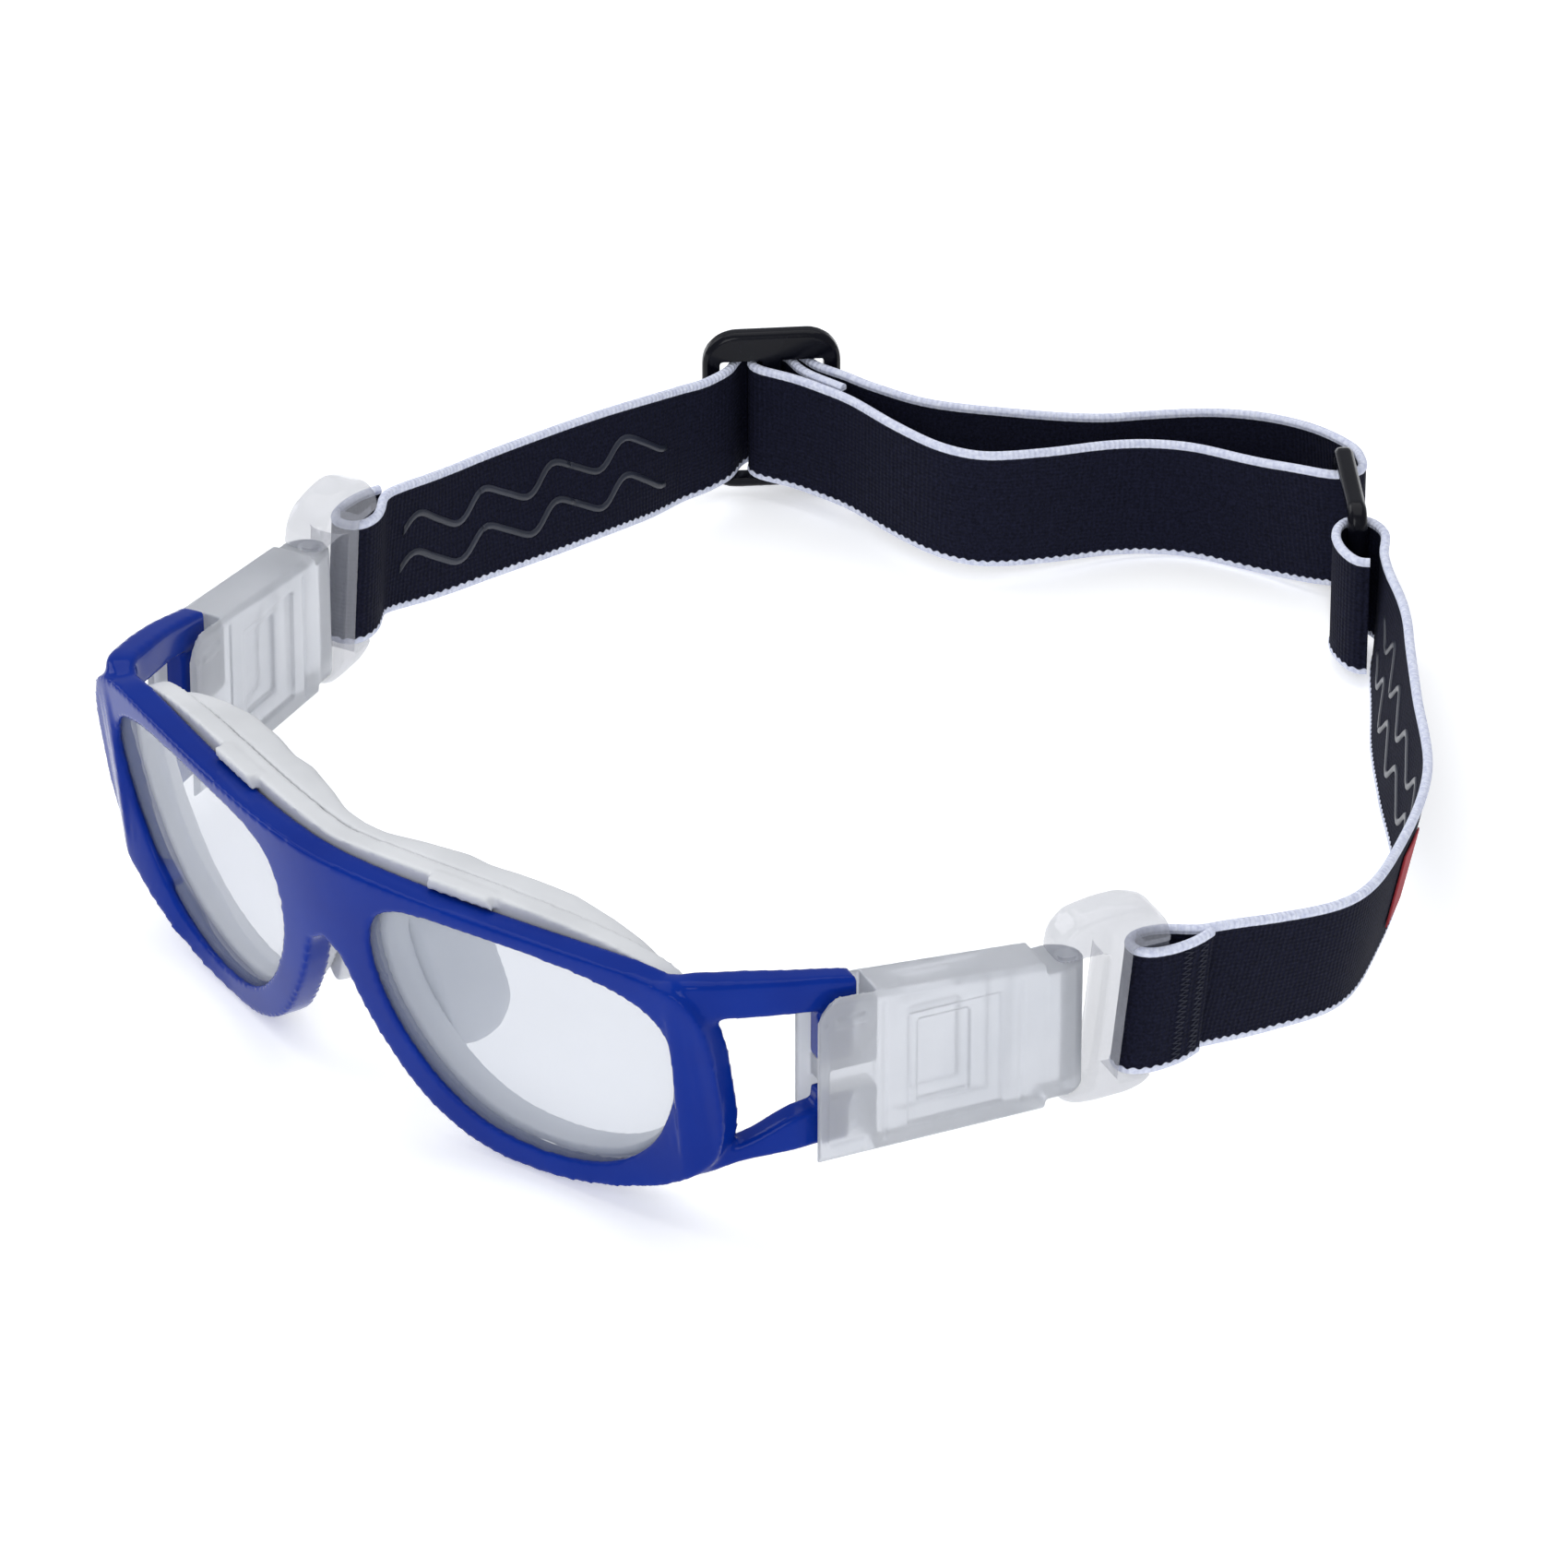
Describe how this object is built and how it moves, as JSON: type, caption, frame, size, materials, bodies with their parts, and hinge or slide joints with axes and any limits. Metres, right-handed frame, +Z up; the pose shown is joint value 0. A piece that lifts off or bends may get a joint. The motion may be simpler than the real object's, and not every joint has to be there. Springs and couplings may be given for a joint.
{
  "type": "sports protective goggles",
  "caption": "Wraparound sports goggles: rigid one-piece frame, clear lenses, soft face liner, clip-on temples and an elastic head strap with an adjuster slider and a rear ring.",
  "frame": {"origin": "centre of the footprint, on the table that the rims and the strap's lower edge rest on", "axes": "+Y from the lenses to the strap's rear, -Y the way the wearer looks, +X the wearer's left, +Z up"},
  "size_m": [0.1923, 0.2265, 0.0455],
  "materials": {
    "frame_blue": "high gloss",
    "lens_clear": "polished polycarbonate",
    "liner_silicone": "translucent soft rubber",
    "sleeve_frosted": "frosted, translucent",
    "bracket_clear": "clear, polished",
    "webbing_navy": "ribbed elastic weave, pale edges",
    "slider_black": "satin",
    "label_red": "woven"
  },
  "bodies": {
    "goggles": {"frame_front": "frame_blue", "lens_left": "lens_clear", "lens_right": "lens_clear", "liner_frame": "liner_silicone", "brow_pad": "liner_silicone", "nose_pad_left": "liner_silicone", "nose_pad_right": "liner_silicone", "strap_left_run": "webbing_navy", "strap_right_run": "webbing_navy", "strap_inner_layer": "webbing_navy", "strap_outer_layer": "webbing_navy", "woven_label": "label_red"},
    "temple_left": {"temple_sleeve_left": "sleeve_frosted"},
    "temple_right": {"temple_sleeve_right": "sleeve_frosted"},
    "bracket_left": {"strap_bracket_left": "bracket_clear", "strap_end_loop_left": "webbing_navy"},
    "bracket_right": {"strap_bracket_right": "bracket_clear", "strap_end_loop_right": "webbing_navy"},
    "slider": {"adjuster_slider": "slider_black", "slider_wrap": "webbing_navy", "slider_loop": "webbing_navy"},
    "ring": {"rear_ring": "slider_black", "ring_loop_outer": "webbing_navy", "ring_loop_sewn": "webbing_navy"}
  },
  "joints": [
    {"name": "temple_hinge_left", "type": "hinge", "parent": "goggles", "child": "temple_left", "pos_m": [0.07265, -0.07725, 0.024], "axis": [0, 0, 1], "range_deg": [-8, 12], "deforming": ["strap_left_run"]},
    {"name": "temple_hinge_right", "type": "hinge", "parent": "goggles", "child": "temple_right", "pos_m": [-0.06655, -0.07725, 0.024], "axis": [0, 0, 1], "range_deg": [-12, 8], "deforming": ["strap_right_run"]},
    {"name": "bracket_swivel_left", "type": "hinge", "parent": "temple_left", "child": "bracket_left", "pos_m": [0.0842, -0.04273, 0.024], "axis": [0, 0, 1], "range_deg": [-25, 25], "deforming": ["strap_left_run"]},
    {"name": "bracket_swivel_right", "type": "hinge", "parent": "temple_right", "child": "bracket_right", "pos_m": [-0.0781, -0.04273, 0.024], "axis": [0, 0, 1], "range_deg": [-25, 25], "deforming": ["strap_right_run"]},
    {"name": "slider_slide", "type": "slide", "parent": "goggles", "child": "slider", "axis": [0.6115, 0.7912, 0], "range_m": [-0.008, 0.008], "deforming": ["strap_right_run", "strap_inner_layer", "strap_outer_layer"]},
    {"name": "rear_ring_hinge", "type": "hinge", "parent": "goggles", "child": "ring", "pos_m": [0.00245, 0.09845, 0.012], "axis": [0, 0, 1], "range_deg": [-15, 15], "deforming": ["strap_left_run", "strap_inner_layer", "strap_outer_layer"]}
  ]
}
